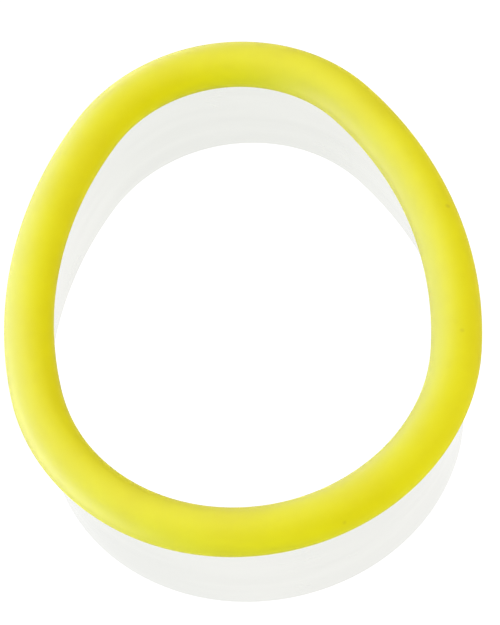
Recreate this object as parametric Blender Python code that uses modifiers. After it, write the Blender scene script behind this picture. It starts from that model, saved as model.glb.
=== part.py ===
"""Egg-shaped cookie cutter: a bent steel band, lapped and spot-welded, with a soft grip moulded over its top edge.

Metres, +Z up. The band stands on its cutting edge at Z = 0, and +Y points to the egg's pointed end.
"""

import math

import bmesh
import bpy
from mathutils import Matrix, Vector

OBJECT_NAME = "cookie_cutter"

# Egg outline along the middle of the band, drawn with tangent arcs.
HALF_WIDTH = 0.03415
BLUNT_RADIUS = 0.0338
FLANK_RADIUS = 0.0667
TIP_RADIUS = 0.02625
STEP_ALONG = 0.0026  # longest straight run along the outline

# Steel band
BAND_THICKNESS = 0.0004
BAND_HEIGHT = 0.0237
LAP_START = 0.054  # along the outline, anticlockwise from the middle of the blunt end
LAP_LENGTH = 0.008  # where the strip's two ends lie over each other
LAP_GAP = 0.0001
JOGGLE_LENGTH = 0.003  # where the outer end steps out over the inner one
WELD_RADIUS = 0.0014
WELD_HEIGHTS = (0.005, 0.0105, 0.016)

# Grip
GRIP_HALF_WIDTH = 0.004
GRIP_HALF_HEIGHT = 0.0033
GRIP_LEVEL = 0.0229  # height of the section's centre
GRIP_SIDES = 24

# Anchor holes through the band's top, and the grip's pegs that fill them
ANCHORS = 16
ANCHOR_LEVEL = 0.0217
HOLE_RADIUS = 0.0009
PEG_RADIUS = 0.0006
PEG_LENGTH = 0.0024
ROUND_SIDES = 16

CLEARANCE = 0.0003  # between the band and the grip
CUTTER_REACH = 0.002  # how far a cutter runs past what it cuts


def egg_arcs():
    """(centre, radius, start angle, end angle) of each arc, anticlockwise from the middle of the blunt end."""
    inset = FLANK_RADIUS - HALF_WIDTH
    blunt_y = -math.sqrt((FLANK_RADIUS - BLUNT_RADIUS) ** 2 - inset**2)
    tip_y = math.sqrt((FLANK_RADIUS - TIP_RADIUS) ** 2 - inset**2)
    middle = Vector((0, (tip_y + TIP_RADIUS + blunt_y - BLUNT_RADIUS) / 2))
    to_tip = math.atan2(tip_y, inset)
    to_blunt = math.atan2(-blunt_y, inset)
    blunt = Vector((0, blunt_y)) - middle
    tip = Vector((0, tip_y)) - middle
    return [
        (blunt, BLUNT_RADIUS, -math.pi / 2, -to_blunt),
        (Vector((-inset, 0)) - middle, FLANK_RADIUS, -to_blunt, to_tip),
        (tip, TIP_RADIUS, to_tip, math.pi - to_tip),
        (Vector((inset, 0)) - middle, FLANK_RADIUS, math.pi - to_tip, math.pi + to_blunt),
        (blunt, BLUNT_RADIUS, math.pi + to_blunt, 3 * math.pi / 2),
    ]


ARCS = egg_arcs()
PERIMETER = sum(radius * (end - start) for _, radius, start, end in ARCS)


def egg_at(distance):
    """Point on the outline, and its outward normal, this far anticlockwise from the middle of the blunt end."""
    left_over = distance % PERIMETER
    for centre, radius, start, end in ARCS:
        length = radius * (end - start)
        if left_over <= length:
            break
        left_over -= length
    angle = start + min(left_over, length) / radius
    normal = Vector((math.cos(angle), math.sin(angle)))
    return centre + radius * normal, normal


def even_steps(length):
    """How many steps this stretch of the outline takes, an even number so that its middle is one of them."""
    return 2 * math.ceil(length / STEP_ALONG / 2)


def no_offset(_):
    return 0.0


def lap_offset(distance):
    """How far the strip stands outside the outline: it steps out over its own start at the end of its turn."""
    share = (distance - LAP_START - PERIMETER + JOGGLE_LENGTH) / JOGGLE_LENGTH
    share = min(max(share, 0.0), 1.0)
    return (BAND_THICKNESS + LAP_GAP) * share * share * (3 - 2 * share)


def collection(name):
    made = bpy.data.collections.new(name)
    bpy.context.scene.collection.children.link(made)
    return made


def material(name, color, metallic, roughness):
    made = bpy.data.materials.new(name)
    made.use_nodes = True
    shader = made.node_tree.nodes["Principled BSDF"]
    shader.inputs["Base Color"].default_value = (*color, 1)
    shader.inputs["Metallic"].default_value = metallic
    shader.inputs["Roughness"].default_value = roughness
    return made


def mesh_object(name, shape, group):
    """A new object of this bmesh, which is freed."""
    bmesh.ops.recalc_face_normals(shape, faces=shape.faces)
    mesh = bpy.data.meshes.new(name)
    shape.to_mesh(mesh)
    shape.free()
    made = bpy.data.objects.new(name, mesh)
    group.objects.link(made)
    return made


def hide_cutter(cutter):
    cutter.hide_render = True
    cutter.display_type = "WIRE"
    return cutter


def solidify(ribbon, thickness):
    wall = ribbon.modifiers.new("wall", "SOLIDIFY")
    wall.thickness = thickness
    wall.offset = 0
    wall.use_even_offset = True
    return ribbon


def boolean(target, cutter, operation):
    made = target.modifiers.new(cutter.name, "BOOLEAN")
    made.operation = operation
    made.solver = "EXACT"
    made.object = cutter


def ribbon(name, group, start, end, offset, low, high, extra=()):
    """An upright open strip along the outline. It closes on itself where it goes once round exactly."""
    steps = even_steps(end - start)
    stations = {start + (end - start) * i / steps for i in range(steps + 1)}
    stations |= {distance for distance in extra if start < distance < end}
    stations = sorted(stations)
    closed = math.isclose(end - start, PERIMETER)
    if closed:
        stations = stations[:-1]
    shape = bmesh.new()
    columns = []
    for distance in stations:
        point, normal = egg_at(distance)
        flat = point + normal * offset(distance)
        columns.append([shape.verts.new((*flat, height)) for height in (low, high)])
    ring = list(zip(columns, columns[1:] + columns[:1]))
    for here, there in ring if closed else ring[:-1]:
        shape.faces.new((here[0], there[0], there[1], here[1]))
    return mesh_object(name, shape, group)


def across(distance, offset, height):
    """A frame with its Z along the outline's outward normal, at this height."""
    point, normal = egg_at(distance)
    place = Matrix.Translation((*(point + normal * offset), height))
    return place @ Vector((*normal, 0)).to_track_quat("Z", "Y").to_matrix().to_4x4()


def cylinders(name, group, radius, length, frames):
    """One hidden object that holds a cylinder in each of these frames."""
    shape = bmesh.new()
    for frame in frames:
        bmesh.ops.create_cone(
            shape, cap_ends=True, segments=ROUND_SIDES, radius1=radius, radius2=radius, depth=length, matrix=frame
        )
    return hide_cutter(mesh_object(name, shape, group))


def anchor_frames():
    """The anchors are evenly spaced, and the lap lies half way between two of them."""
    pitch = PERIMETER / ANCHORS
    first = LAP_START + (LAP_LENGTH - JOGGLE_LENGTH + pitch) / 2
    return [across(first + i * pitch, 0, ANCHOR_LEVEL) for i in range(ANCHORS)]


def smooth(made, angle):
    made.data.shade_smooth()
    made.data.set_sharp_from_angle(angle=math.radians(angle))


def make_band(parts, cutters):
    turn_end = LAP_START + PERIMETER
    joggle = [turn_end - JOGGLE_LENGTH * share for share in (1, 0.75, 0.5, 0.25, 0)]
    strip = ribbon("steel_band", parts, LAP_START, turn_end + LAP_LENGTH, lap_offset, 0, BAND_HEIGHT, joggle)
    band = solidify(strip, BAND_THICKNESS)
    holes = cylinders("anchor_holes", cutters, HOLE_RADIUS, 4 * BAND_THICKNESS, anchor_frames())
    boolean(band, holes, "DIFFERENCE")
    lap_middle = (BAND_THICKNESS + LAP_GAP) / 2
    welds = [across(LAP_START + LAP_LENGTH / 2, lap_middle, height) for height in WELD_HEIGHTS]
    nuggets = cylinders("spot_welds", cutters, WELD_RADIUS, BAND_THICKNESS + LAP_GAP, welds)
    boolean(band, nuggets, "UNION")
    band.data.materials.append(material("stainless_steel", (0.62, 0.62, 0.61), 1.0, 0.25))
    smooth(band, 30)
    return band


def grip_blank(parts, cutters):
    """The grip before its slot: an oval section swept round the outline."""
    section = bpy.data.curves.new("grip_section", "CURVE")
    section.dimensions = "2D"
    oval = section.splines.new("POLY")
    oval.points.add(GRIP_SIDES - 1)
    for i, point in enumerate(oval.points):
        angle = math.tau * i / GRIP_SIDES
        point.co = (GRIP_HALF_WIDTH * math.cos(angle), GRIP_HALF_HEIGHT * math.sin(angle), 0, 1)
    oval.use_cyclic_u = True
    profile = bpy.data.objects.new("grip_section", section)
    cutters.objects.link(profile)
    hide_cutter(profile)

    path = bpy.data.curves.new("grip", "CURVE")
    path.dimensions = "2D"
    path.bevel_mode = "OBJECT"
    path.bevel_object = profile
    loop = path.splines.new("POLY")
    count = even_steps(PERIMETER)
    loop.points.add(count - 1)
    for i, point in enumerate(loop.points):
        flat, _ = egg_at(PERIMETER * i / count)
        point.co = (*flat, 0, 1)
    loop.use_cyclic_u = True
    swept = bpy.data.objects.new("grip_path", path)
    parts.objects.link(swept)
    swept.location.z = GRIP_LEVEL

    bpy.context.view_layer.update()
    graph = bpy.context.evaluated_depsgraph_get()
    mesh = bpy.data.meshes.new_from_object(swept.evaluated_get(graph))
    grip = bpy.data.objects.new("grip", mesh)
    grip.matrix_world = swept.matrix_world
    parts.objects.link(grip)
    bpy.data.objects.remove(swept)
    return grip


def make_grip(parts, cutters):
    grip = grip_blank(parts, cutters)
    low = GRIP_LEVEL - GRIP_HALF_HEIGHT - CUTTER_REACH
    high = BAND_HEIGHT + CLEARANCE
    single = BAND_THICKNESS + 2 * CLEARANCE
    slot = ribbon("slot", cutters, 0, PERIMETER, no_offset, low, high)
    hide_cutter(solidify(slot, single))
    boolean(grip, slot, "DIFFERENCE")

    step = BAND_THICKNESS + LAP_GAP
    start = LAP_START - JOGGLE_LENGTH - CLEARANCE
    end = LAP_START + LAP_LENGTH + CLEARANCE
    wide_slot = ribbon("slot_over_lap", cutters, start, end, lambda _: step / 2, low, high)
    hide_cutter(solidify(wide_slot, single + step))
    boolean(grip, wide_slot, "DIFFERENCE")

    pegs = cylinders("anchor_pegs", cutters, PEG_RADIUS, PEG_LENGTH, anchor_frames())
    boolean(grip, pegs, "UNION")
    grip.data.materials.append(material("soft_yellow_plastic", (0.80, 0.76, 0.02), 0.0, 0.45))
    smooth(grip, 40)
    return grip


def main():
    for old in list(bpy.data.objects):
        bpy.data.objects.remove(old)
    parts = collection(OBJECT_NAME)
    cutters = collection("cutters")
    make_band(parts, cutters)
    make_grip(parts, cutters)


main()
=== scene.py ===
"""Looks of an egg-shaped cookie cutter: a bright steel strip with a soft yellow grip along its top."""

import math

import bpy
from mathutils import Matrix, Vector


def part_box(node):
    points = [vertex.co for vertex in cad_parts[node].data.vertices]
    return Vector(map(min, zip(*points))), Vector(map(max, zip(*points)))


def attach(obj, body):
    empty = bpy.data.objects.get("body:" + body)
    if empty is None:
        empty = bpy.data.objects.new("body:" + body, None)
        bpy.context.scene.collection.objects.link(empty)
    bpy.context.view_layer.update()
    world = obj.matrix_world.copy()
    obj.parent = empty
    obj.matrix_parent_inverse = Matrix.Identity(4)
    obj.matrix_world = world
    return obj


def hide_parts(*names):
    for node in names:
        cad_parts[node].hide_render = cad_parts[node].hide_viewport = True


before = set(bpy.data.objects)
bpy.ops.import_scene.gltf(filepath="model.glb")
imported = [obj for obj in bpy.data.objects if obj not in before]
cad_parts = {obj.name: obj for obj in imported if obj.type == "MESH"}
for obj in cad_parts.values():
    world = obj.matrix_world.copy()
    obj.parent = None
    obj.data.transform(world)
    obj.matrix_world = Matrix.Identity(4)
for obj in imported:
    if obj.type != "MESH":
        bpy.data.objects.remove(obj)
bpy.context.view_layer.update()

MM = 0.001

# Egg outline along the middle of the strip, drawn with tangent arcs
BLUNT_RADIUS = 33.8 * MM
FLANK_RADIUS = 66.7 * MM
TIP_RADIUS = 26.25 * MM

# Grip
GRIP_WIDTH = 8.0 * MM
GRIP_HEIGHT = 6.6 * MM
GRIP_STATIONS = 720
SLOT_CLEARANCE = 0.02 * MM
SLOT_TOP_GAP = 0.3 * MM  # over the strip's upper edge
SLOT_WIDER_BEFORE = 1.2  # in joggle lengths, where the slot starts to widen before the strip is double
SLOT_WIDER_PAST = 0.3 * MM  # how far it stays wide past the strip's end
SLOT_SHUT_PAST = 1.2 * MM  # and where it is plain again
SLOT_PUSH_FADE = (0.6 * MM, 2.2 * MM)  # distances from the strip over which the widening dies out
LIP_RADIUS = 0.3 * MM  # round edge of the slot's mouth, where the plastic meets the steel
PARTING_HEIGHT = 0.05 * MM  # fine line where the mould's two halves met
PARTING_WIDTH = 0.24 * MM
CROWN_STEPS = 54  # round the upper half of the oval
SKIRT_STEPS = 25  # down each side from the parting line to the slot
LIP_STEPS = 6
SLOT_STEPS = 4
GRIP_WAVE = 0.07 * MM  # slight sinking of the thick soft section as it cooled
GRIP_WAVE_LENGTH = 17 * MM
GRIP_WAVE_SEED = 3.0
SINK_FADE = (0.4 * MM, 1.2 * MM)  # distances from the strip over which the sinking sets in
GATE_PLACE = 1.9 * MM  # outward from the middle of the strip, underneath the pointed end
GATE_RADIUS = 0.8 * MM
GATE_DEPTH = 0.18 * MM
GATE_STUB = 0.3 * MM
GATE_FLOOR = 0.75  # of its radius, inside the round edge
GATE_STUB_FOOT, GATE_STUB_TOP = 0.5, 0.3  # of its radius

# Strip
STRIP_THICKNESS = 0.4 * MM
STRIP_STATIONS = 780
STRIP_ROWS = 52
EDGE_ROLL = 0.12 * MM  # round side of the sheared lower edge
EDGE_BURR = 0.04 * MM  # sharp side of it
ROLL_STEPS = 4
LAP_START = math.radians(-3.35)  # direction from +X of the strip's hidden end
LAP_LENGTH = 8.0 * MM
LAP_GAP = 0.03 * MM
JOGGLE_LENGTH = 3.0 * MM
LAP_PRESS = 0.5  # how much closer together the strip's stations stand at the lap
WELD_RADIUS = 1.4 * MM
WELD_DEPTH = 0.07 * MM
WELD_LOWEST = 5.0 * MM
WELD_SPACING = 5.5 * MM
WELD_COUNT = 3
WELD_FLOOR = 0.6  # of its radius, inside the round edge
WELD_HEAT = 3.0 * MM  # radius that the heat tinted
STRIP_WAVE = 0.06 * MM  # what the bending left in the thin steel
STRIP_WAVE_LENGTH = 24 * MM
STRIP_WAVE_SEED = 8.0
STRIP_WAVE_FADE = (8 * MM, 18 * MM)  # heights over which the waves die out below the grip

CREASE = math.radians(40)  # edges sharper than this stay sharp

# Finishes
NOISE_SPAN = (0.3, 0.7)  # where nearly all of a noise lies
PIGMENT = ("#D2D000", "#D5D500")
PIGMENT_CLOUDS = 9 * MM
PIGMENT_SPAN = (0.35, 0.65)
SPECK_SPACING = 7 * MM
SPECK_NONE = 0.72  # share of the places that have no speck
SPECK_EDGE = (0.03, 0.09)  # where a speck starts to fade and where it ends, over the spacing
SPECK_STRENGTH = 0.35
SPECK_COLOUR = "#9A8E2A"
VINYL_GLOSS = 0.25
VINYL_ROUGHNESS = (0.58, 0.66)
MOULD_PITS = 0.25 * MM
MOULD_PIT_DEPTH = 0.008 * MM
MOULD_RIPPLE = 2.2 * MM
MOULD_RIPPLE_DEPTH = 0.012 * MM
STEEL = ("#E3E4E0", "#E5E6E2")
STEEL_ROUGHNESS = (0.18, 0.24)
ROLLED_LENGTH = 25 * MM
ROLLED_LINES = 0.3 * MM
ROLLED_LINE_DEPTH = 0.0003 * MM
ROLLED_BANDS = 3 * MM
FILM_PATCHES = 12 * MM
FILM_SPAN = (0.5, 0.7)
FILM_DULLS = 0.05  # added to the roughness under it
STRAW = "#CDB98A"
STRAW_STRENGTH = 0.45

# Camera
VIEW_AZIMUTH = math.radians(3.95)
VIEW_ELEVATION = math.radians(57.615)
VIEW_ROLL = math.radians(9.78)
VIEW_DISTANCE = 0.6081
LENS = 218.4
SENSOR = 36
CLIP = (0.05, 20)
VIEW_OFFSET = Vector((1.38, -3.29, -2.17)) * MM  # from the middle of the grip to the camera's aim

# Light
TABLE_SIZE = 8
BACKDROP_RADIUS = 3.9
BACKDROP_GLOW = 0.75
# The table's glow is painted light: the table itself glows, brightest at its middle and fainter towards its
# edge, in place of lamps under it
TABLE_PAINTED_GLOW = 1.06
TABLE_EDGE_PAINTED_GLOW = 0.6
TABLE_PAINTED_GLOW_REACH = 0.5  # distance from the middle over which the table's glow falls off
FILL_DISTANCE = 1.5
FILL_SIZE = 0.6
FILLS = (  # azimuth, elevation, watts and colour
    (0, 90, 4, "#FFFFFF"),
    (270, 35, 8, "#FFFFFF"),
    (90, 35, 12.5, "#FFE4D8"),
    (0, 35, 12, "#FFFFFF"),
    (180, 35, 7.5, "#FFFFFF"),
)
SOFTBOX_DISTANCE = 1.2
# Width and height, then azimuth, elevation and watts of each. Those below 0 stand under the table
SOFTBOXES = {
    (0.6, 0.6): ((205, -20, 10), (285, -20, 20), (255, -8, 20)),
    (0.6, 0.16): ((195, 4, 10), (225, 4, 5), (285, 4, 25)),
    (1.0, 1.0): ((225, 25, 10), (270, 25, 25), (225, 45, 20), (180, 68, 5)),
}

GRIP_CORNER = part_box("grip")[1]
STRIP_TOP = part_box("steel_band")[1].z
GRIP_LEVEL = GRIP_CORNER.z - GRIP_HEIGHT / 2
HALF_WIDTH = GRIP_CORNER.x - GRIP_WIDTH / 2
SLOT_HALF = STRIP_THICKNESS / 2 + SLOT_CLEARANCE
SLOT_TOP = STRIP_TOP + SLOT_TOP_GAP

# The arcs' centres follow from their radii, from their touching each other, and from the outline's width
INSET = FLANK_RADIUS - HALF_WIDTH
TIP_LEAP = FLANK_RADIUS - TIP_RADIUS
BLUNT_LEAP = FLANK_RADIUS - BLUNT_RADIUS
TIP_Y = math.sqrt(TIP_LEAP**2 - INSET**2)
BLUNT_Y = -math.sqrt(BLUNT_LEAP**2 - INSET**2)
MIDDLE_Y = (TIP_Y + TIP_RADIUS + BLUNT_Y - BLUNT_RADIUS) / 2
OUTLINE_SIZES = {
    "Flank Radius": FLANK_RADIUS,
    "Tip Radius": TIP_RADIUS,
    "Blunt Radius": BLUNT_RADIUS,
    "Flank Centre": Vector((-INSET, -MIDDLE_Y, 0)),
    "Tip Centre": Vector((0, TIP_Y - MIDDLE_Y, 0)),
    "Blunt Centre": Vector((0, BLUNT_Y - MIDDLE_Y, 0)),
    "Tip From": TIP_Y / TIP_LEAP,  # sine of the direction where flank turns into tip
    "Blunt Below": BLUNT_Y / BLUNT_LEAP,
}

# Kinds of node. Map Range takes 0 a value, 1 and 2 its span, and 3 and 4 the span it becomes. Mix takes
# 0 a factor and 6 and 7 two colours, and gives the colour as output 2
MATH = "ShaderNodeMath"
VECTOR_MATH = "ShaderNodeVectorMath"
COMBINE = "ShaderNodeCombineXYZ"
SEPARATE = "ShaderNodeSeparateXYZ"
RANGE = "ShaderNodeMapRange"
MIX = "ShaderNodeMix"
NOISE = "ShaderNodeTexNoise"
BUMP = "ShaderNodeBump"
SWITCH = "GeometryNodeSwitch"
PLACE = "GeometryNodeSetPosition"
NAMED = "GeometryNodeInputNamedAttribute"
STORE = "GeometryNodeStoreNamedAttribute"


def srgb(code):
    """Linear red, green, blue and alpha of an sRGB hex colour."""
    parts = [int(code[i : i + 2], 16) / 255 for i in (1, 3, 5)]
    return [c / 12.92 if c <= 0.04045 else ((c + 0.055) / 1.055) ** 2.4 for c in parts] + [1.0]


def add(tree, kind, inputs=(), **settings):
    """A new node's outputs. inputs lists the sockets' values or links in order, or maps sockets to them."""
    made = tree.nodes.new(kind)
    for name, value in settings.items():
        setattr(made, name, value)
    for key, value in inputs.items() if isinstance(inputs, dict) else enumerate(inputs):
        if isinstance(value, bpy.types.NodeSocket):
            tree.links.new(value, made.inputs[key])
        else:
            made.inputs[key].default_value = value
    return made.outputs


# ---------------------------------------------------------------- geometry trees


def new_tree(name, sizes, others):
    """A Geometry Nodes tree with an input under the name of each size and of each of the other sockets."""
    tree = bpy.data.node_groups.new(name, "GeometryNodeTree")
    tree.interface.new_socket("Geometry", in_out="OUTPUT", socket_type="NodeSocketGeometry")
    kinds = {float: "NodeSocketFloat", int: "NodeSocketInt", Vector: "NodeSocketVector"}
    labels = {label: kinds[type(value)] for label, value in sizes.items()}
    for label, kind in (labels | others).items():
        tree.interface.new_socket(label, in_out="INPUT", socket_type=kind)
    return tree, add(tree, "NodeGroupInput")


def finish_tree(tree, geometry):
    add(tree, "NodeGroupOutput", [geometry])
    return tree


def evaluated(name, tree, values):
    """A plain mesh object that this tree makes, with its named inputs set to these values."""
    holder = bpy.data.objects.new(name, bpy.data.meshes.new(name))
    bpy.context.scene.collection.objects.link(holder)
    modifier = holder.modifiers.new(name, "NODES")
    modifier.node_group = tree
    for item in tree.interface.items_tree:
        if item.in_out == "INPUT" and item.name in values:
            modifier[item.identifier] = values[item.name]
    graph = bpy.context.evaluated_depsgraph_get()
    mesh = bpy.data.meshes.new_from_object(holder.evaluated_get(graph))
    holder.modifiers.clear()
    holder.data = mesh
    mesh.name = name
    return holder


def section_object(name, points):
    """A closed flat curve through these points, anticlockwise with +X outward and +Y up, for sweeping."""
    data = bpy.data.curves.new(name, "CURVE")
    data.dimensions = "2D"
    spline = data.splines.new("POLY")
    spline.points.add(len(points) - 1)
    for point, (x, y) in zip(spline.points, reversed(points)):
        point.co = (x, -y, 0, 1)
    spline.use_cyclic_u = True
    made = bpy.data.objects.new(name, data)
    bpy.context.scene.collection.objects.link(made)
    return made


def egg_outline_tree():
    """Lays a curve along the egg. Turned is how far round each point lies, and may pass one turn."""
    tree, given = new_tree(
        "egg_outline",
        {**OUTLINE_SIZES, "Start": 0.0, "Turned": 0.0},
        {"Curve": "NodeSocketGeometry"},
    )
    angle = add(tree, MATH, [given["Start"], given["Turned"]], operation="ADD")[0]
    across = add(tree, MATH, [angle], operation="COSINE")[0]
    along = add(tree, MATH, [angle], operation="SINE")[0]
    outward = add(tree, COMBINE, [across, along, 0.0])[0]
    side = add(tree, COMBINE, [add(tree, MATH, [across], operation="SIGN")[0], 1.0, 1.0])[0]
    flank_centre = add(tree, VECTOR_MATH, [given["Flank Centre"], side], operation="MULTIPLY")[0]
    at_tip = add(tree, MATH, [along, given["Tip From"]], operation="GREATER_THAN")[0]
    at_blunt = add(tree, MATH, [along, given["Blunt Below"]], operation="LESS_THAN")[0]
    below_tip = add(tree, SWITCH, [at_blunt, flank_centre, given["Blunt Centre"]], input_type="VECTOR")[0]
    centre = add(tree, SWITCH, [at_tip, below_tip, given["Tip Centre"]], input_type="VECTOR")[0]
    below_radii = [at_blunt, given["Flank Radius"], given["Blunt Radius"]]
    below_radius = add(tree, SWITCH, below_radii, input_type="FLOAT")[0]
    radius = add(tree, SWITCH, [at_tip, below_radius, given["Tip Radius"]], input_type="FLOAT")[0]
    reach = add(tree, VECTOR_MATH, {0: outward, "Scale": radius}, operation="SCALE")[0]
    point = add(tree, VECTOR_MATH, [centre, reach], operation="ADD")[0]
    kept = add(tree, PLACE, {"Geometry": given["Curve"], "Position": point})[0]
    for name, value, kind in (
        ("outward", outward, "FLOAT_VECTOR"),
        ("turned", given["Turned"], "FLOAT"),
        ("middle", point, "FLOAT_VECTOR"),
        ("along", add(tree, "GeometryNodeSplineParameter")["Length"], "FLOAT"),
    ):
        kept = add(tree, STORE, {"Geometry": kept, "Name": name, "Value": value}, data_type=kind)[0]
    return finish_tree(tree, add(tree, "GeometryNodeSetCurveNormal", {"Curve": kept}, mode="Z_UP")[0])


def lay_outline(tree, given, outline, curve, turned):
    """This curve laid along the egg in another tree, which passes its own sizes on."""
    sizes = {label: given[label] for label in [*OUTLINE_SIZES, "Start"]}
    laid = tree.nodes.new("GeometryNodeGroup")
    laid.node_tree = outline
    for label, value in {**sizes, "Curve": curve, "Turned": turned}.items():
        tree.links.new(value, laid.inputs[label])
    return laid.outputs[0]


def moved(tree, geometry, direction, amount):
    """The geometry with each point moved by this amount along this direction."""
    offset = add(tree, VECTOR_MATH, {0: direction, "Scale": amount}, operation="SCALE")[0]
    return add(tree, PLACE, {"Geometry": geometry, "Offset": offset})[0]


def finish_surface(tree, geometry, material):
    """Shades a swept surface smooth but for its real edges, and ends the tree."""
    smooth = add(tree, "GeometryNodeSetShadeSmooth", {"Geometry": geometry})[0]
    bend = add(tree, "GeometryNodeInputMeshEdgeAngle")["Unsigned Angle"]
    edge = add(tree, MATH, [bend, CREASE], operation="GREATER_THAN")[0]
    sharp = {"Geometry": smooth, "Selection": edge, "Shade Smooth": False}
    creased = add(tree, "GeometryNodeSetShadeSmooth", sharp, domain="EDGE")[0]
    real = add(tree, "GeometryNodeRealizeInstances", {"Geometry": creased})[0]
    dressed = add(tree, "GeometryNodeSetMaterial", {"Geometry": real, "Material": material})[0]
    return finish_tree(tree, dressed)


def wave(tree, length, depth, seed):
    """A smooth random height, up to about half of depth either way, whose bumps are this length apart."""
    scale = add(tree, MATH, [1.0, length], operation="DIVIDE")[0]
    noise = add(tree, NOISE, {"W": seed, "Scale": scale, "Detail": 1.0}, noise_dimensions="4D")[0]
    level = add(tree, MATH, [noise, 0.5], operation="SUBTRACT")[0]
    return add(tree, MATH, [level, depth], operation="MULTIPLY")[0]


def grip_tree(outline, sizes):
    """Sweeps the grip's section round the egg, widens its slot at the lap and adds sinking and the gate."""
    others = {"Section": "NodeSocketObject", "Material": "NodeSocketMaterial"}
    tree, given = new_tree("moulded_grip", sizes, others)
    circle = add(tree, "GeometryNodeCurvePrimitiveCircle", {"Resolution": given["Stations"]})[0]
    factor = add(tree, "GeometryNodeSplineParameter")["Factor"]
    turned = add(tree, MATH, [factor, math.tau], operation="MULTIPLY")[0]
    path = lay_outline(tree, given, outline, circle, turned)
    section = add(tree, "GeometryNodeObjectInfo", {"Object": given["Section"]})["Geometry"]
    swept = add(tree, "GeometryNodeCurveToMesh", {"Curve": path, "Profile Curve": section})[0]
    level = add(tree, COMBINE, [0.0, 0.0, given["Level"]])[0]
    raised = add(tree, PLACE, {"Geometry": swept, "Offset": level})[0]

    outward = add(tree, NAMED, {"Name": "outward"}, data_type="FLOAT_VECTOR")[0]
    middle = add(tree, NAMED, {"Name": "middle"}, data_type="FLOAT_VECTOR")[0]
    along = add(tree, NAMED, {"Name": "turned"}, data_type="FLOAT")[0]
    place = add(tree, "GeometryNodeInputPosition")[0]
    from_middle = add(tree, VECTOR_MATH, [place, middle], operation="SUBTRACT")[0]
    out = add(tree, VECTOR_MATH, [from_middle, outward], operation="DOT_PRODUCT")["Value"]
    height = add(tree, SEPARATE, [place])["Z"]
    under = add(tree, MATH, [height, given["Slot Top"]], operation="LESS_THAN")[0]

    # Wider on its outer side where the strip is double
    past_lap = add(tree, MATH, [along, given["Lap Turned"]], operation="SUBTRACT")[0]
    past = add(tree, MATH, [past_lap, given["Flank Radius"]], operation="MULTIPLY")[0]
    before = add(tree, MATH, [given["Joggle"], -SLOT_WIDER_BEFORE], operation="MULTIPLY")[0]
    opening = {0: past, 1: before, 2: -SLOT_WIDER_PAST, 3: 0.0, 4: 1.0}
    opens = add(tree, RANGE, opening, interpolation_type="SMOOTHSTEP")[0]
    end = add(tree, MATH, [given["Lap"], SLOT_WIDER_PAST], operation="ADD")[0]
    shut = add(tree, MATH, [given["Lap"], SLOT_SHUT_PAST], operation="ADD")[0]
    closing = {0: past, 1: end, 2: shut, 3: 1.0, 4: 0.0}
    closes = add(tree, RANGE, closing, interpolation_type="SMOOTHSTEP")[0]
    fading = {0: out, 1: SLOT_PUSH_FADE[0], 2: SLOT_PUSH_FADE[1], 3: 1.0, 4: 0.0}
    near_slot = add(tree, RANGE, fading, interpolation_type="SMOOTHSTEP")[0]
    outer = add(tree, MATH, [out, 0.0], operation="GREATER_THAN")[0]
    widen = given["Lap Step"]
    for share in (opens, closes, near_slot, outer, under):
        widen = add(tree, MATH, [widen, share], operation="MULTIPLY")[0]
    slotted = moved(tree, raised, outward, widen)

    # Sinking, on the outer skin only
    from_strip = add(tree, MATH, [out], operation="ABSOLUTE")[0]
    skin = add(tree, RANGE, {0: from_strip, 1: SINK_FADE[0], 2: SINK_FADE[1], 3: 0.0, 4: 1.0})[0]
    above = add(tree, MATH, [1.0, under], operation="SUBTRACT")[0]
    skin_or_above = add(tree, MATH, [skin, above], operation="MAXIMUM")[0]
    swell = wave(tree, given["Wave Length"], given["Wave"], GRIP_WAVE_SEED)
    sink = add(tree, MATH, [swell, skin_or_above], operation="MULTIPLY")[0]
    normal = add(tree, "GeometryNodeInputNormal")[0]
    cooled = moved(tree, slotted, normal, sink)

    # Gate: a shallow round recess with the stub of the runner in it
    reach = add(tree, VECTOR_MATH, [place, given["Gate"]], operation="DISTANCE")["Value"]
    wall = add(tree, MATH, [given["Gate Radius"], GATE_FLOOR], operation="MULTIPLY")[0]
    bowl = {0: reach, 1: wall, 2: given["Gate Radius"], 3: given["Gate Depth"], 4: 0.0}
    recess = add(tree, RANGE, bowl, interpolation_type="SMOOTHSTEP")[0]
    stub_foot = add(tree, MATH, [given["Gate Radius"], GATE_STUB_FOOT], operation="MULTIPLY")[0]
    stub_top = add(tree, MATH, [given["Gate Radius"], GATE_STUB_TOP], operation="MULTIPLY")[0]
    stub = add(tree, RANGE, {0: reach, 1: stub_top, 2: stub_foot, 3: given["Gate Stub"], 4: 0.0})[0]
    rise = add(tree, MATH, [stub, recess], operation="SUBTRACT")[0]
    gated = moved(tree, cooled, normal, rise)
    return finish_surface(tree, gated, given["Material"])


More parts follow.
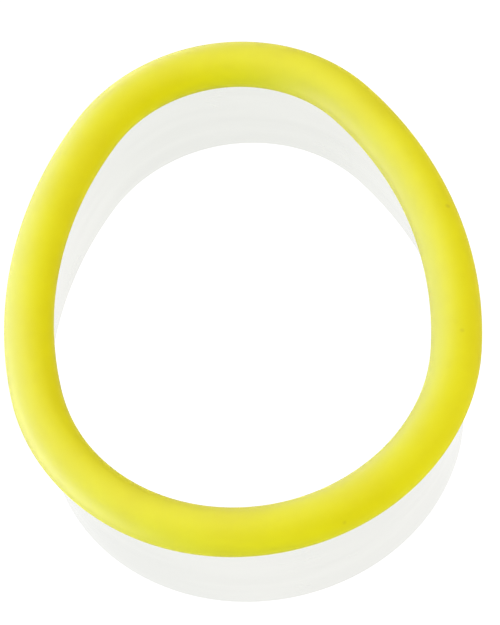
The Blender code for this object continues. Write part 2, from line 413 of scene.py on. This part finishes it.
def strip_tree(outline, sizes):
    """Sweeps the strip's section round the egg and over its start, presses the welds and bends it."""
    others = {"Section": "NodeSocketObject", "Material": "NodeSocketMaterial"}
    tree, given = new_tree("steel_strip", sizes, others)
    line = add(tree, "GeometryNodeCurvePrimitiveLine")[0]
    stations = add(tree, "GeometryNodeResampleCurve", {"Curve": line, "Count": given["Stations"]})[0]
    factor = add(tree, "GeometryNodeSplineParameter")["Factor"]
    round_once = add(tree, MATH, [factor, math.tau], operation="MULTIPLY")[0]
    swing = add(tree, MATH, [round_once], operation="SINE")[0]
    pull = add(tree, MATH, [given["Lap Press"], -1 / math.tau], operation="MULTIPLY")[0]
    eased = add(tree, MATH, [swing, pull, factor], operation="MULTIPLY_ADD")[0]
    turned = add(tree, MATH, [eased, given["Sweep"]], operation="MULTIPLY")[0]
    path = lay_outline(tree, given, outline, stations, turned)

    # The outer end steps out over the inner one
    outward = add(tree, NAMED, {"Name": "outward"}, data_type="FLOAT_VECTOR")[0]
    round_here = add(tree, NAMED, {"Name": "turned"}, data_type="FLOAT")[0]
    past_turn = add(tree, MATH, [round_here, math.tau], operation="SUBTRACT")[0]
    past = add(tree, MATH, [past_turn, given["Flank Radius"]], operation="MULTIPLY")[0]
    before = add(tree, MATH, [given["Joggle"], -1.0], operation="MULTIPLY")[0]
    stepping = {0: past, 1: before, 2: 0.0, 3: 0.0, 4: given["Lap Step"]}
    step = add(tree, RANGE, stepping, interpolation_type="SMOOTHSTEP")[0]
    stepped = moved(tree, path, outward, step)
    section = add(tree, "GeometryNodeObjectInfo", {"Object": given["Section"]})["Geometry"]
    sweeping = {"Curve": stepped, "Profile Curve": section, "Fill Caps": True}
    swept = add(tree, "GeometryNodeCurveToMesh", sweeping)[0]

    # Spot welds: a round dent in the outer face of the lap and another in its inner face
    height = add(tree, SEPARATE, [add(tree, "GeometryNodeInputPosition")[0]])["Z"]
    from_start = add(tree, MATH, [round_here, given["Flank Radius"]], operation="MULTIPLY")[0]
    outer_layer = add(tree, MATH, [past, 0.0], operation="GREATER_THAN")[0]
    in_lap = add(tree, SWITCH, [outer_layer, from_start, past], input_type="FLOAT")[0]
    half_lap = add(tree, MATH, [given["Lap"], 0.5], operation="MULTIPLY")[0]
    sideways = add(tree, MATH, [in_lap, half_lap], operation="SUBTRACT")[0]
    climbed = add(tree, MATH, [height, given["Weld Lowest"]], operation="SUBTRACT")[0]
    spacings = add(tree, MATH, [climbed, given["Weld Spacing"]], operation="DIVIDE")[0]
    nearest = add(tree, MATH, [spacings], operation="ROUND")[0]
    which = add(tree, "ShaderNodeClamp", [nearest, 0.0, given["Last Weld"]])[0]
    at_weld = add(tree, MATH, [which, given["Weld Spacing"]], operation="MULTIPLY")[0]
    upright = add(tree, MATH, [climbed, at_weld], operation="SUBTRACT")[0]
    from_weld = add(tree, COMBINE, [sideways, upright, 0.0])[0]
    reach = add(tree, VECTOR_MATH, [from_weld], operation="LENGTH")["Value"]
    floor = add(tree, MATH, [given["Weld Radius"], WELD_FLOOR], operation="MULTIPLY")[0]
    bowl = {0: reach, 1: floor, 2: given["Weld Radius"], 3: given["Weld Depth"], 4: 0.0}
    dent = add(tree, RANGE, bowl, interpolation_type="SMOOTHSTEP")[0]
    normal = add(tree, "GeometryNodeInputNormal")[0]
    facing = add(tree, VECTOR_MATH, [normal, outward], operation="DOT_PRODUCT")["Value"]
    wanted = add(tree, SWITCH, [outer_layer, -1.0, 1.0], input_type="FLOAT")[0]
    agrees = add(tree, MATH, [facing, wanted], operation="MULTIPLY")[0]
    pressed_side = add(tree, MATH, [agrees, 0.5], operation="GREATER_THAN")[0]
    inwards = add(tree, MATH, [wanted, -1.0], operation="MULTIPLY")[0]
    push = add(tree, MATH, [dent, pressed_side], operation="MULTIPLY")[0]
    push = add(tree, MATH, [push, inwards], operation="MULTIPLY")[0]
    warming = {0: reach, 1: given["Weld Radius"], 2: WELD_HEAT, 3: 1.0, 4: 0.0}
    heat = add(tree, RANGE, warming, interpolation_type="SMOOTHSTEP")[0]
    heated = add(tree, STORE, {"Geometry": swept, "Name": "heat", "Value": heat}, data_type="FLOAT")[0]
    welded = moved(tree, heated, outward, push)

    # Waves die out where the grip holds the strip
    fading = {0: height, 1: STRIP_WAVE_FADE[0], 2: STRIP_WAVE_FADE[1], 3: 1.0, 4: 0.0}
    free = add(tree, RANGE, fading, interpolation_type="SMOOTHSTEP")[0]
    swell = wave(tree, given["Wave Length"], given["Wave"], STRIP_WAVE_SEED)
    swell = add(tree, MATH, [swell, free], operation="MULTIPLY")[0]
    bent = moved(tree, welded, outward, swell)
    return finish_surface(tree, bent, given["Material"])


# ---------------------------------------------------------------- materials


def moulded_soft_vinyl():
    """Soft yellow vinyl from a finely spark-eroded mould: slightly cloudy under a broad satin sheen."""
    material = bpy.data.materials.new("moulded_soft_vinyl")
    material.use_nodes = True
    tree = material.node_tree
    shader = tree.nodes["Principled BSDF"]
    shader.inputs["Specular IOR Level"].default_value = VINYL_GLOSS
    place = add(tree, "ShaderNodeTexCoord")["Object"]

    # Pigment mixed a little unevenly, in clouds
    clouds = add(tree, NOISE, {"Vector": place, "Scale": 1 / PIGMENT_CLOUDS, "Detail": 3.0})[0]
    cloudy = add(tree, RANGE, {0: clouds, 1: PIGMENT_SPAN[0], 2: PIGMENT_SPAN[1]})[0]
    pigments = {0: cloudy, 6: srgb(PIGMENT[0]), 7: srgb(PIGMENT[1])}
    pigment = add(tree, MIX, pigments, data_type="RGBA")[2]

    # Rare specks of regrind, up to about 1 mm wide
    cells = add(tree, "ShaderNodeTexVoronoi", {"Vector": place, "Scale": 1 / SPECK_SPACING})
    draw = add(tree, SEPARATE, [cells["Color"]])[0]
    chosen = add(tree, MATH, [draw, SPECK_NONE], operation="GREATER_THAN")[0]
    fading = {0: cells["Distance"], 1: SPECK_EDGE[0], 2: SPECK_EDGE[1], 3: SPECK_STRENGTH, 4: 0.0}
    spot = add(tree, RANGE, fading)[0]
    speck = add(tree, MATH, [chosen, spot], operation="MULTIPLY")[0]
    specked = add(tree, MIX, {0: speck, 6: pigment, 7: srgb(SPECK_COLOUR)}, data_type="RGBA")[2]
    tree.links.new(specked, shader.inputs["Base Color"])

    # Satin mould texture: pits of about 0.03 mm, drawn 0.25 mm wide so that they show, over a slow ripple
    grain = add(tree, NOISE, {"Vector": place, "Scale": 1 / MOULD_PITS, "Detail": 2.0})[0]
    ripple = add(tree, NOISE, {"Vector": place, "Scale": 1 / MOULD_RIPPLE, "Detail": 1.0})[0]
    satin = {0: grain, 1: NOISE_SPAN[0], 2: NOISE_SPAN[1], 3: VINYL_ROUGHNESS[0], 4: VINYL_ROUGHNESS[1]}
    tree.links.new(add(tree, RANGE, satin)[0], shader.inputs["Roughness"])
    rippled = add(tree, BUMP, {"Distance": MOULD_RIPPLE_DEPTH, "Height": ripple})[0]
    pitted = add(tree, BUMP, {"Distance": MOULD_PIT_DEPTH, "Height": grain, "Normal": rippled})[0]
    tree.links.new(pitted, shader.inputs["Normal"])
    return material


def streaks(tree, along, height, spacing, detail):
    """Random streaks that run round the strip, this far apart."""
    lengthwise = add(tree, MATH, [along, 1 / ROLLED_LENGTH], operation="MULTIPLY")[0]
    across = add(tree, MATH, [height, 1 / spacing], operation="MULTIPLY")[0]
    place = add(tree, COMBINE, [lengthwise, across, 0.0])[0]
    drawing = {"Vector": place, "Scale": 1.0, "Detail": detail}
    return add(tree, NOISE, drawing, noise_dimensions="2D")[0]


def bright_rolled_steel():
    """Bright-rolled stainless: near-mirror white, streaked along the roll, straw-tinted at the welds."""
    material = bpy.data.materials.new("bright_rolled_steel")
    material.use_nodes = True
    tree = material.node_tree
    shader = tree.nodes["Principled BSDF"]
    shader.inputs["Metallic"].default_value = 1.0
    along = add(tree, "ShaderNodeAttribute", attribute_name="along")["Fac"]
    place = add(tree, "ShaderNodeTexCoord")["Object"]
    height = add(tree, SEPARATE, [place])["Z"]

    # Rolling lines: hair-fine ones, drawn 0.3 mm apart so that they show, and broad faint bands
    lines = streaks(tree, along, height, ROLLED_LINES, 2.0)
    bands = streaks(tree, along, height, ROLLED_BANDS, 1.0)

    # Handling leaves a thin greasy film in patches
    film = add(tree, NOISE, {"Vector": place, "Scale": 1 / FILM_PATCHES, "Detail": 4.0})[0]
    filmed = add(tree, RANGE, {0: film, 1: FILM_SPAN[0], 2: FILM_SPAN[1], 3: 0.0, 4: FILM_DULLS})[0]
    rolled = {0: lines, 1: NOISE_SPAN[0], 2: NOISE_SPAN[1], 3: STEEL_ROUGHNESS[0], 4: STEEL_ROUGHNESS[1]}
    streaked = add(tree, RANGE, rolled)[0]
    tree.links.new(add(tree, MATH, [streaked, filmed], operation="ADD")[0], shader.inputs["Roughness"])

    shade = add(tree, RANGE, {0: bands, 1: NOISE_SPAN[0], 2: NOISE_SPAN[1]})[0]
    metal = add(tree, MIX, {0: shade, 6: srgb(STEEL[0]), 7: srgb(STEEL[1])}, data_type="RGBA")[2]
    heat = add(tree, "ShaderNodeAttribute", attribute_name="heat")["Fac"]
    tint = add(tree, MATH, [heat, STRAW_STRENGTH], operation="MULTIPLY")[0]
    tinted = add(tree, MIX, {0: tint, 6: metal, 7: srgb(STRAW)}, data_type="RGBA")[2]
    tree.links.new(tinted, shader.inputs["Base Color"])
    relief = add(tree, BUMP, {"Distance": ROLLED_LINE_DEPTH, "Height": lines})[0]
    tree.links.new(relief, shader.inputs["Normal"])
    return material


# ---------------------------------------------------------------- pieces


def grip_section():
    """The grip cut across: an oval with a fine parting line at its widest, split from below by the slot."""
    wide, high = GRIP_WIDTH / 2, GRIP_HEIGHT / 2
    mouth = SLOT_HALF + LIP_RADIUS
    start = -math.acos(mouth / wide)
    parting = math.asin(PARTING_WIDTH / 2 / high)
    stretches = (  # first and last angle, and steps. The parting line is a single point on each side
        (start, -parting, SKIRT_STEPS),
        (0, 0, 0),
        (parting, math.pi - parting, CROWN_STEPS),
        (math.pi, math.pi, 0),
        (math.pi + parting, math.pi - start, SKIRT_STEPS),
    )
    points = []
    for first, last, steps in stretches:
        bulge = 0 if steps else PARTING_HEIGHT
        for i in range(steps + 1):
            angle = first + (last - first) * i / max(steps, 1)
            points.append(((wide + bulge) * math.cos(angle), high * math.sin(angle)))

    mouth_level = points[0][1]
    lip = []
    for i in range(LIP_STEPS):
        angle = math.radians(180 + 90 * i / LIP_STEPS)
        lip.append((mouth + LIP_RADIUS * math.cos(angle), mouth_level + LIP_RADIUS * (1 + math.sin(angle))))
    top = SLOT_TOP - GRIP_LEVEL
    wall_low = mouth_level + LIP_RADIUS
    wall = [(SLOT_HALF, top + (wall_low - top) * i / SLOT_STEPS) for i in range(SLOT_STEPS)]
    right_side = wall + lip
    left_side = [(-x, y) for x, y in reversed(right_side)]
    return points + left_side + right_side


def strip_section():
    """The strip cut across: a thin oblong whose sheared lower edge is round outside and sharp inside."""
    half, high = STRIP_THICKNESS / 2, STRIP_TOP
    rolled = []
    for i in range(ROLL_STEPS + 1):
        angle = math.radians(-90 + 90 * i / ROLL_STEPS)
        rolled.append((half - EDGE_ROLL * (1 - math.cos(angle)), EDGE_ROLL * (1 + math.sin(angle))))
    outer = [(half, EDGE_ROLL + (high - EDGE_ROLL) * i / STRIP_ROWS) for i in range(1, STRIP_ROWS + 1)]
    inner = [(-half, y) for _, y in reversed(outer)]
    return rolled + outer + inner + [(-half, EDGE_BURR), (-half + EDGE_BURR, 0)]


def make_grip(outline, material):
    tip_front = TIP_Y + TIP_RADIUS - MIDDLE_Y + GATE_PLACE
    gate_level = GRIP_LEVEL - GRIP_HEIGHT / 2 * math.sqrt(1 - (GATE_PLACE / (GRIP_WIDTH / 2)) ** 2)
    sizes = {
        **OUTLINE_SIZES,
        "Start": math.pi,
        "Stations": GRIP_STATIONS,
        "Level": GRIP_LEVEL,
        "Slot Top": SLOT_TOP + SLOT_CLEARANCE,
        "Lap": LAP_LENGTH,
        "Lap Turned": math.pi + LAP_START,
        "Lap Step": STRIP_THICKNESS + LAP_GAP,
        "Joggle": JOGGLE_LENGTH,
        "Wave": GRIP_WAVE,
        "Wave Length": GRIP_WAVE_LENGTH,
        "Gate": Vector((0, tip_front, gate_level)),
        "Gate Radius": GATE_RADIUS,
        "Gate Depth": GATE_DEPTH,
        "Gate Stub": GATE_STUB,
    }
    section = section_object("grip_section", grip_section())
    tree = grip_tree(outline, sizes)
    grip = evaluated("moulded_grip", tree, {**sizes, "Section": section, "Material": material})
    bpy.data.objects.remove(section)
    return grip


def make_strip(outline, material):
    sizes = {
        **OUTLINE_SIZES,
        "Start": LAP_START,
        "Sweep": math.tau + LAP_LENGTH / FLANK_RADIUS,
        "Stations": STRIP_STATIONS,
        "Lap": LAP_LENGTH,
        "Lap Press": LAP_PRESS,
        "Lap Step": STRIP_THICKNESS + LAP_GAP,
        "Joggle": JOGGLE_LENGTH,
        "Weld Radius": WELD_RADIUS,
        "Weld Depth": WELD_DEPTH,
        "Weld Lowest": WELD_LOWEST,
        "Weld Spacing": WELD_SPACING,
        "Last Weld": WELD_COUNT - 1.0,
        "Wave": STRIP_WAVE,
        "Wave Length": STRIP_WAVE_LENGTH,
    }
    section = section_object("strip_section", strip_section())
    tree = strip_tree(outline, sizes)
    strip = evaluated("steel_strip", tree, {**sizes, "Section": section, "Material": material})
    bpy.data.objects.remove(section)
    return strip


# ---------------------------------------------------------------- studio


def towards(azimuth, elevation):
    """Direction to this azimuth, from -Y towards +X, and elevation, in radians."""
    level = math.cos(elevation)
    return Vector((math.sin(azimuth) * level, -math.cos(azimuth) * level, math.sin(elevation)))


def facing_back(direction):
    """The turn that makes a camera or light look back along this direction."""
    return (-direction).to_track_quat("-Z", "Y").to_matrix().to_4x4()


def make_camera():
    back = towards(VIEW_AZIMUTH, VIEW_ELEVATION)
    aim = Vector((0, 0, GRIP_LEVEL)) + VIEW_OFFSET
    data = bpy.data.cameras.new("camera")
    data.lens = LENS
    data.sensor_width = SENSOR
    data.clip_start, data.clip_end = CLIP
    camera = bpy.data.objects.new("camera", data)
    bpy.context.scene.collection.objects.link(camera)
    roll = Matrix.Rotation(-VIEW_ROLL, 4, "Z")
    camera.matrix_world = Matrix.Translation(aim + back * VIEW_DISTANCE) @ facing_back(back) @ roll
    bpy.context.scene.camera = camera


def make_floor():
    """A pale table whose own glow is painted light, brightest at its middle and fainter outward, so that it
    shows no shadow.

    It is grey in itself, so that it bounces little of the panels' light.
    """
    bpy.ops.mesh.primitive_plane_add(size=TABLE_SIZE)
    floor = bpy.context.object
    floor.name = "floor"
    material = bpy.data.materials.new("painted_glow_table")
    material.use_nodes = True
    tree = material.node_tree
    shader = tree.nodes["Principled BSDF"]
    place = add(tree, "ShaderNodeTexCoord")["Object"]
    # Painted light: the table glows brightest at its middle and fainter outward
    distance = add(tree, VECTOR_MATH, [place], operation="LENGTH")["Value"]
    painted_glow = add(tree, RANGE, {0: distance, 1: 0.0, 2: TABLE_PAINTED_GLOW_REACH, 3: TABLE_PAINTED_GLOW, 4: TABLE_EDGE_PAINTED_GLOW})[0]
    tree.links.new(painted_glow, shader.inputs["Emission Strength"])
    shader.inputs["Base Color"].default_value = srgb("#5A5A5C")
    shader.inputs["Roughness"].default_value = 0.9
    shader.inputs["Specular IOR Level"].default_value = 0.0
    shader.inputs["Emission Color"].default_value = srgb("#FFFFFF")
    floor.data.materials.append(material)


def make_backdrop():
    """A pale round backdrop, seen behind the table's edge. It lights nothing."""
    bpy.ops.mesh.primitive_uv_sphere_add(radius=BACKDROP_RADIUS)
    backdrop = bpy.context.object
    backdrop.name = "backdrop"
    backdrop.visible_diffuse = False
    backdrop.visible_glossy = False
    material = bpy.data.materials.new("backdrop_paper")
    material.use_nodes = True
    shader = material.node_tree.nodes["Principled BSDF"]
    shader.inputs["Base Color"].default_value = srgb("#000000")
    shader.inputs["Specular IOR Level"].default_value = 0.0
    shader.inputs["Emission Color"].default_value = srgb("#FFFFFF")
    shader.inputs["Emission Strength"].default_value = BACKDROP_GLOW
    backdrop.data.materials.append(material)


def area_light(name, azimuth, elevation, distance, width, height, watts):
    """An unseen area light in this direction, in degrees, that faces the middle of the table."""
    data = bpy.data.lights.new(name, "AREA")
    data.shape = "RECTANGLE"
    data.size = width
    data.size_y = height
    data.energy = watts
    light = bpy.data.objects.new(name, data)
    bpy.context.scene.collection.objects.link(light)
    back = towards(math.radians(azimuth), math.radians(elevation))
    light.matrix_world = Matrix.Translation(back * distance) @ facing_back(back)
    light.visible_camera = False
    return light


def make_fills():
    """Cross-polarised panels all round, which light the colours and leave next to no gloss."""
    for azimuth, elevation, watts, colour in FILLS:
        fill = area_light("fill", azimuth, elevation, FILL_DISTANCE, FILL_SIZE, FILL_SIZE, watts)
        fill.data.color = srgb(colour)[:3]
        fill.visible_glossy = False


def make_softboxes(lit):
    """Softboxes round the left of the table, screened so that only this piece shows their broad sheen."""
    screened = bpy.data.collections.new("softbox_receivers")
    screened.objects.link(lit)
    for (width, height), places in SOFTBOXES.items():
        for azimuth, elevation, watts in places:
            softbox = area_light("softbox", azimuth, elevation, SOFTBOX_DISTANCE, width, height, watts)
            softbox.visible_diffuse = False
            softbox.light_linking.receiver_collection = screened
            softbox.light_linking.blocker_collection = screened


bpy.context.scene.view_settings.view_transform = "Standard"
make_camera()
make_floor()
make_backdrop()
make_fills()
outline = egg_outline_tree()
grip = make_grip(outline, moulded_soft_vinyl())
strip = make_strip(outline, bright_rolled_steel())
make_softboxes(grip)
for piece, node, slot in ((grip, "grip", "soft_yellow_plastic"), (strip, "steel_band", "stainless_steel")):
    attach(piece, "root")
    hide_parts(node)
